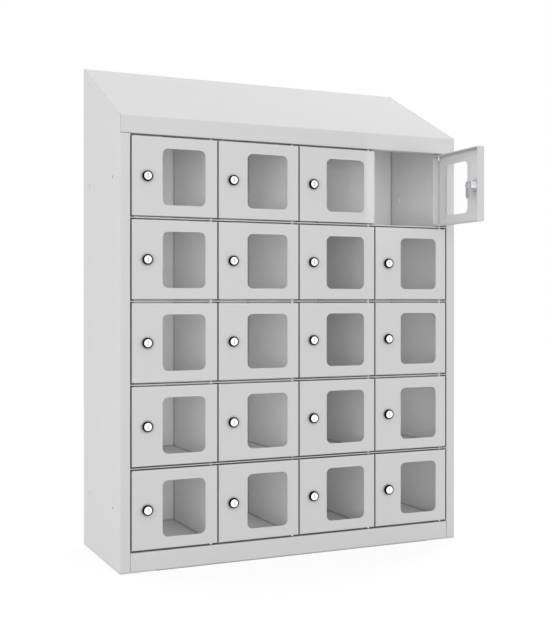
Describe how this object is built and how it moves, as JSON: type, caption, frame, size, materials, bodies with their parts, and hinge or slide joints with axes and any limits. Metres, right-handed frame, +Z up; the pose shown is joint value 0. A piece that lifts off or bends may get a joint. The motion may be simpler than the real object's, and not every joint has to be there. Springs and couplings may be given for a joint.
{
  "type": "phone locker cabinet",
  "caption": "Steel phone locker with a sloping hood, a grid of small windowed doors on pivot pins, one standing open, and a cam lock on each door.",
  "frame": {"origin": "centre of the cabinet footprint, on the plane it stands on", "axes": "+X to the right seen from the front, +Y to the back, +Z up; the doors face -Y"},
  "size_m": [0.65, 0.3738, 0.875],
  "materials": {
    "grey_powder_coat": "light grey powder coat, fine orange peel, satin",
    "door_powder_coat": "light grey powder coat, fine orange peel, satin; the clear pane and black bezel of a closed door share this node",
    "clear_pane": "clear polycarbonate, gloss",
    "zinc_plated_steel": "bright zinc plate",
    "lock_chrome": "bright nickel plate",
    "lock_black": "black lacquered zinc die casting, satin"
  },
  "bodies": {
    "cabinet": {"side_panel_left": "grey_powder_coat", "side_panel_right": "grey_powder_coat", "door_stop_left": "grey_powder_coat", "hood": "grey_powder_coat", "back_panel": "grey_powder_coat", "base_panel": "grey_powder_coat", "plinth_front": "grey_powder_coat", "shelf_1": "grey_powder_coat", "shelf_2": "grey_powder_coat", "shelf_3": "grey_powder_coat", "shelf_4": "grey_powder_coat", "divider_1": "grey_powder_coat", "divider_2": "grey_powder_coat", "divider_3": "grey_powder_coat", "hinge_pins_top": "zinc_plated_steel", "hinge_pins_shelves": "zinc_plated_steel", "hinge_pins_base": "zinc_plated_steel"},
    "door_r1c4": {"door_r1c4": "door_powder_coat", "pane_r1c4": "clear_pane", "lock_housing_r1c4": "lock_black"},
    "door_r1c1": {"door_r1c1": "door_powder_coat"},
    "door_r1c2": {"door_r1c2": "door_powder_coat"},
    "door_r1c3": {"door_r1c3": "door_powder_coat"},
    "door_r2c1": {"door_r2c1": "door_powder_coat"},
    "door_r2c2": {"door_r2c2": "door_powder_coat"},
    "door_r2c3": {"door_r2c3": "door_powder_coat"},
    "door_r2c4": {"door_r2c4": "door_powder_coat"},
    "door_r3c1": {"door_r3c1": "door_powder_coat"},
    "door_r3c2": {"door_r3c2": "door_powder_coat"},
    "door_r3c3": {"door_r3c3": "door_powder_coat"},
    "door_r3c4": {"door_r3c4": "door_powder_coat"},
    "door_r4c1": {"door_r4c1": "door_powder_coat"},
    "door_r4c2": {"door_r4c2": "door_powder_coat"},
    "door_r4c3": {"door_r4c3": "door_powder_coat"},
    "door_r4c4": {"door_r4c4": "door_powder_coat"},
    "door_r5c1": {"door_r5c1": "door_powder_coat"},
    "door_r5c2": {"door_r5c2": "door_powder_coat"},
    "door_r5c3": {"door_r5c3": "door_powder_coat"},
    "door_r5c4": {"door_r5c4": "door_powder_coat"},
    "lock_r1c4": {"lock_r1c4": "lock_chrome"},
    "lock_r1c1": {"lock_r1c1": "lock_chrome"},
    "lock_r1c2": {"lock_r1c2": "lock_chrome"},
    "lock_r1c3": {"lock_r1c3": "lock_chrome"},
    "lock_r2c1": {"lock_r2c1": "lock_chrome"},
    "lock_r2c2": {"lock_r2c2": "lock_chrome"},
    "lock_r2c3": {"lock_r2c3": "lock_chrome"},
    "lock_r2c4": {"lock_r2c4": "lock_chrome"},
    "lock_r3c1": {"lock_r3c1": "lock_chrome"},
    "lock_r3c2": {"lock_r3c2": "lock_chrome"},
    "lock_r3c3": {"lock_r3c3": "lock_chrome"},
    "lock_r3c4": {"lock_r3c4": "lock_chrome"},
    "lock_r4c1": {"lock_r4c1": "lock_chrome"},
    "lock_r4c2": {"lock_r4c2": "lock_chrome"},
    "lock_r4c3": {"lock_r4c3": "lock_chrome"},
    "lock_r4c4": {"lock_r4c4": "lock_chrome"},
    "lock_r5c1": {"lock_r5c1": "lock_chrome"},
    "lock_r5c2": {"lock_r5c2": "lock_chrome"},
    "lock_r5c3": {"lock_r5c3": "lock_chrome"},
    "lock_r5c4": {"lock_r5c4": "lock_chrome"}
  },
  "joints": [
    {"name": "door_r1c4_hinge", "type": "hinge", "parent": "cabinet", "child": "door_r1c4", "pos_m": [0.295, -0.1127, 0.654], "axis": [0, 0, 1], "range_deg": [-88, 22]},
    {"name": "door_r1c1_hinge", "type": "hinge", "parent": "cabinet", "child": "door_r1c1", "pos_m": [-0.164, -0.1127, 0.654], "axis": [0, 0, 1], "range_deg": [0, 110]},
    {"name": "door_r1c2_hinge", "type": "hinge", "parent": "cabinet", "child": "door_r1c2", "pos_m": [-0.011, -0.1127, 0.654], "axis": [0, 0, 1], "range_deg": [0, 110]},
    {"name": "door_r1c3_hinge", "type": "hinge", "parent": "cabinet", "child": "door_r1c3", "pos_m": [0.142, -0.1127, 0.654], "axis": [0, 0, 1], "range_deg": [0, 110]},
    {"name": "door_r2c1_hinge", "type": "hinge", "parent": "cabinet", "child": "door_r2c1", "pos_m": [-0.164, -0.1127, 0.516], "axis": [0, 0, 1], "range_deg": [0, 110]},
    {"name": "door_r2c2_hinge", "type": "hinge", "parent": "cabinet", "child": "door_r2c2", "pos_m": [-0.011, -0.1127, 0.516], "axis": [0, 0, 1], "range_deg": [0, 110]},
    {"name": "door_r2c3_hinge", "type": "hinge", "parent": "cabinet", "child": "door_r2c3", "pos_m": [0.142, -0.1127, 0.516], "axis": [0, 0, 1], "range_deg": [0, 110]},
    {"name": "door_r2c4_hinge", "type": "hinge", "parent": "cabinet", "child": "door_r2c4", "pos_m": [0.295, -0.1127, 0.516], "axis": [0, 0, 1], "range_deg": [0, 110]},
    {"name": "door_r3c1_hinge", "type": "hinge", "parent": "cabinet", "child": "door_r3c1", "pos_m": [-0.164, -0.1127, 0.378], "axis": [0, 0, 1], "range_deg": [0, 110]},
    {"name": "door_r3c2_hinge", "type": "hinge", "parent": "cabinet", "child": "door_r3c2", "pos_m": [-0.011, -0.1127, 0.378], "axis": [0, 0, 1], "range_deg": [0, 110]},
    {"name": "door_r3c3_hinge", "type": "hinge", "parent": "cabinet", "child": "door_r3c3", "pos_m": [0.142, -0.1127, 0.378], "axis": [0, 0, 1], "range_deg": [0, 110]},
    {"name": "door_r3c4_hinge", "type": "hinge", "parent": "cabinet", "child": "door_r3c4", "pos_m": [0.295, -0.1127, 0.378], "axis": [0, 0, 1], "range_deg": [0, 110]},
    {"name": "door_r4c1_hinge", "type": "hinge", "parent": "cabinet", "child": "door_r4c1", "pos_m": [-0.164, -0.1127, 0.24], "axis": [0, 0, 1], "range_deg": [0, 110]},
    {"name": "door_r4c2_hinge", "type": "hinge", "parent": "cabinet", "child": "door_r4c2", "pos_m": [-0.011, -0.1127, 0.24], "axis": [0, 0, 1], "range_deg": [0, 110]},
    {"name": "door_r4c3_hinge", "type": "hinge", "parent": "cabinet", "child": "door_r4c3", "pos_m": [0.142, -0.1127, 0.24], "axis": [0, 0, 1], "range_deg": [0, 110]},
    {"name": "door_r4c4_hinge", "type": "hinge", "parent": "cabinet", "child": "door_r4c4", "pos_m": [0.295, -0.1127, 0.24], "axis": [0, 0, 1], "range_deg": [0, 110]},
    {"name": "door_r5c1_hinge", "type": "hinge", "parent": "cabinet", "child": "door_r5c1", "pos_m": [-0.164, -0.1127, 0.102], "axis": [0, 0, 1], "range_deg": [0, 110]},
    {"name": "door_r5c2_hinge", "type": "hinge", "parent": "cabinet", "child": "door_r5c2", "pos_m": [-0.011, -0.1127, 0.102], "axis": [0, 0, 1], "range_deg": [0, 110]},
    {"name": "door_r5c3_hinge", "type": "hinge", "parent": "cabinet", "child": "door_r5c3", "pos_m": [0.142, -0.1127, 0.102], "axis": [0, 0, 1], "range_deg": [0, 110]},
    {"name": "door_r5c4_hinge", "type": "hinge", "parent": "cabinet", "child": "door_r5c4", "pos_m": [0.295, -0.1127, 0.102], "axis": [0, 0, 1], "range_deg": [0, 110]},
    {"name": "lock_r1c4_turn", "type": "hinge", "parent": "door_r1c4", "child": "lock_r1c4", "pos_m": [0.2983, -0.22739, 0.654], "axis": [-0.9994, 0.0349, 0], "range_deg": [0, 90]},
    {"name": "lock_r1c1_turn", "type": "hinge", "parent": "door_r1c1", "child": "lock_r1c1", "pos_m": [-0.2785, -0.12, 0.654], "axis": [0, 1, 0], "range_deg": [0, 90]},
    {"name": "lock_r1c2_turn", "type": "hinge", "parent": "door_r1c2", "child": "lock_r1c2", "pos_m": [-0.1255, -0.12, 0.654], "axis": [0, 1, 0], "range_deg": [0, 90]},
    {"name": "lock_r1c3_turn", "type": "hinge", "parent": "door_r1c3", "child": "lock_r1c3", "pos_m": [0.0275, -0.12, 0.654], "axis": [0, 1, 0], "range_deg": [0, 90]},
    {"name": "lock_r2c1_turn", "type": "hinge", "parent": "door_r2c1", "child": "lock_r2c1", "pos_m": [-0.2785, -0.12, 0.516], "axis": [0, 1, 0], "range_deg": [0, 90]},
    {"name": "lock_r2c2_turn", "type": "hinge", "parent": "door_r2c2", "child": "lock_r2c2", "pos_m": [-0.1255, -0.12, 0.516], "axis": [0, 1, 0], "range_deg": [0, 90]},
    {"name": "lock_r2c3_turn", "type": "hinge", "parent": "door_r2c3", "child": "lock_r2c3", "pos_m": [0.0275, -0.12, 0.516], "axis": [0, 1, 0], "range_deg": [0, 90]},
    {"name": "lock_r2c4_turn", "type": "hinge", "parent": "door_r2c4", "child": "lock_r2c4", "pos_m": [0.1805, -0.12, 0.516], "axis": [0, 1, 0], "range_deg": [0, 90]},
    {"name": "lock_r3c1_turn", "type": "hinge", "parent": "door_r3c1", "child": "lock_r3c1", "pos_m": [-0.2785, -0.12, 0.378], "axis": [0, 1, 0], "range_deg": [0, 90]},
    {"name": "lock_r3c2_turn", "type": "hinge", "parent": "door_r3c2", "child": "lock_r3c2", "pos_m": [-0.1255, -0.12, 0.378], "axis": [0, 1, 0], "range_deg": [0, 90]},
    {"name": "lock_r3c3_turn", "type": "hinge", "parent": "door_r3c3", "child": "lock_r3c3", "pos_m": [0.0275, -0.12, 0.378], "axis": [0, 1, 0], "range_deg": [0, 90]},
    {"name": "lock_r3c4_turn", "type": "hinge", "parent": "door_r3c4", "child": "lock_r3c4", "pos_m": [0.1805, -0.12, 0.378], "axis": [0, 1, 0], "range_deg": [0, 90]},
    {"name": "lock_r4c1_turn", "type": "hinge", "parent": "door_r4c1", "child": "lock_r4c1", "pos_m": [-0.2785, -0.12, 0.24], "axis": [0, 1, 0], "range_deg": [0, 90]},
    {"name": "lock_r4c2_turn", "type": "hinge", "parent": "door_r4c2", "child": "lock_r4c2", "pos_m": [-0.1255, -0.12, 0.24], "axis": [0, 1, 0], "range_deg": [0, 90]},
    {"name": "lock_r4c3_turn", "type": "hinge", "parent": "door_r4c3", "child": "lock_r4c3", "pos_m": [0.0275, -0.12, 0.24], "axis": [0, 1, 0], "range_deg": [0, 90]},
    {"name": "lock_r4c4_turn", "type": "hinge", "parent": "door_r4c4", "child": "lock_r4c4", "pos_m": [0.1805, -0.12, 0.24], "axis": [0, 1, 0], "range_deg": [0, 90]},
    {"name": "lock_r5c1_turn", "type": "hinge", "parent": "door_r5c1", "child": "lock_r5c1", "pos_m": [-0.2785, -0.12, 0.102], "axis": [0, 1, 0], "range_deg": [0, 90]},
    {"name": "lock_r5c2_turn", "type": "hinge", "parent": "door_r5c2", "child": "lock_r5c2", "pos_m": [-0.1255, -0.12, 0.102], "axis": [0, 1, 0], "range_deg": [0, 90]},
    {"name": "lock_r5c3_turn", "type": "hinge", "parent": "door_r5c3", "child": "lock_r5c3", "pos_m": [0.0275, -0.12, 0.102], "axis": [0, 1, 0], "range_deg": [0, 90]},
    {"name": "lock_r5c4_turn", "type": "hinge", "parent": "door_r5c4", "child": "lock_r5c4", "pos_m": [0.1805, -0.12, 0.102], "axis": [0, 1, 0], "range_deg": [0, 90]}
  ]
}
